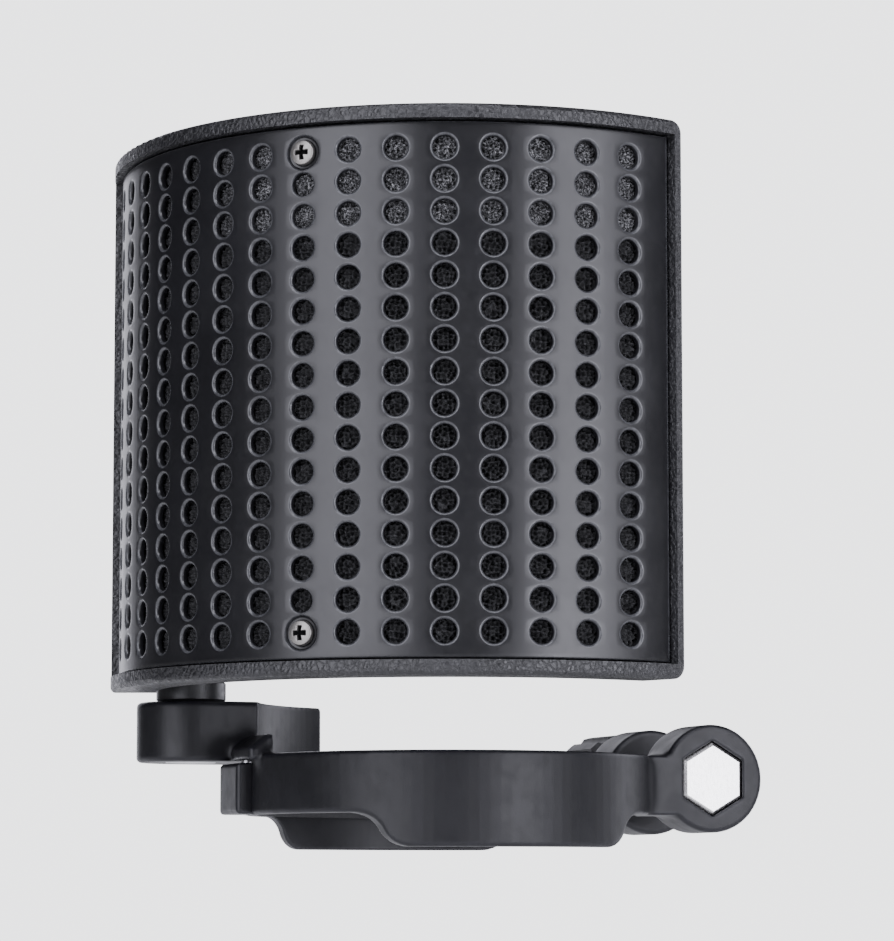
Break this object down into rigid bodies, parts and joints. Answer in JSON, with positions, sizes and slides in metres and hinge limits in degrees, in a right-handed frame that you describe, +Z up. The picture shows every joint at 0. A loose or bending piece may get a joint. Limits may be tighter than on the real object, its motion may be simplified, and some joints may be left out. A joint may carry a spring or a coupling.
{
  "type": "microphone pop filter",
  "caption": "Curved perforated pop filter with a foam layer, swinging on the arm of a two-part screw clamp that grips a microphone body.",
  "frame": {"origin": "centre of the clamp's bore, at the middle of the ring's height, on the microphone's axis", "axes": "+Z up along the microphone, -Y towards the talker through the middle of the curved shield, +X to the side where the clamp's bolt is"},
  "size_m": [0.0974, 0.1088, 0.1092],
  "materials": {
    "clamp_plastic": "satin moulded",
    "frame_plastic": "fine leather grain",
    "grille_plastic": "semi-gloss coated",
    "knob_plastic": "satin moulded",
    "grip_rubber": "matte",
    "foam": "open-cell foam",
    "mesh": "fine woven nylon",
    "nylon": "black acetal",
    "nickel": "bright nickel plate",
    "steel": "drawn steel",
    "brass": "turned"
  },
  "bodies": {
    "clamp_body": {"clamp_front_half": "clamp_plastic", "front_liner": "grip_rubber", "hinge_pin": "steel", "clamp_bolt": "nickel", "pivot_bolt": "nickel", "pivot_spacer": "nylon"},
    "rear_jaw": {"clamp_rear_half": "clamp_plastic", "rear_liner": "grip_rubber"},
    "clamp_washer": {"clamp_washer": "nickel"},
    "clamp_knob": {"clamp_knob": "knob_plastic", "clamp_knob_insert": "brass"},
    "shield": {"shield_frame": "frame_plastic", "front_grille": "grille_plastic", "foam_layer": "foam", "mesh_layer": "mesh", "rear_grille": "grille_plastic", "grille_screw_upper": "nickel", "grille_screw_lower": "nickel", "lug_bush": "nylon"},
    "pivot_washer": {"pivot_washer": "nickel"},
    "pivot_knob": {"pivot_knob": "knob_plastic", "pivot_knob_insert": "brass"}
  },
  "joints": [
    {"name": "jaw_hinge", "type": "hinge", "parent": "clamp_body", "child": "rear_jaw", "pos_m": [-0.02641, -0.01812, 0], "axis": [0, 0, 1], "range_deg": [-1.64, 2.45]},
    {"name": "clamp_washer_slide", "type": "slide", "parent": "clamp_body", "child": "clamp_washer", "axis": [-0.7071, 0.7071, 0], "range_m": [-0.002, 0.003]},
    {"name": "clamp_knob_spin", "type": "hinge", "parent": "clamp_washer", "child": "clamp_knob", "pos_m": [0.02772, 0.02772, 0.0012], "axis": [-0.7071, 0.7071, 0], "range_deg": [-723, 1083]},
    {"name": "shield_swing", "type": "hinge", "parent": "clamp_body", "child": "shield", "pos_m": [-0.0398, -0.0122, 0.019], "axis": [0, 0, 1], "range_deg": [-120, 8]},
    {"name": "pivot_washer_slide", "type": "slide", "parent": "clamp_body", "child": "pivot_washer", "axis": [0, 0, 1], "range_m": [0, 0.0008]},
    {"name": "pivot_knob_spin", "type": "hinge", "parent": "pivot_washer", "child": "pivot_knob", "pos_m": [-0.0398, -0.0122, 0.025], "axis": [0, 0, 1], "range_deg": [0, 362]}
  ],
  "couplings": [
    {"joint": "clamp_knob_spin", "follows": "clamp_washer_slide", "rad_per_m": 6283.2},
    {"joint": "jaw_hinge", "follows": "clamp_washer_slide", "rad_per_m": 14.147},
    {"joint": "pivot_knob_spin", "follows": "pivot_washer_slide", "rad_per_m": 7854}
  ]
}
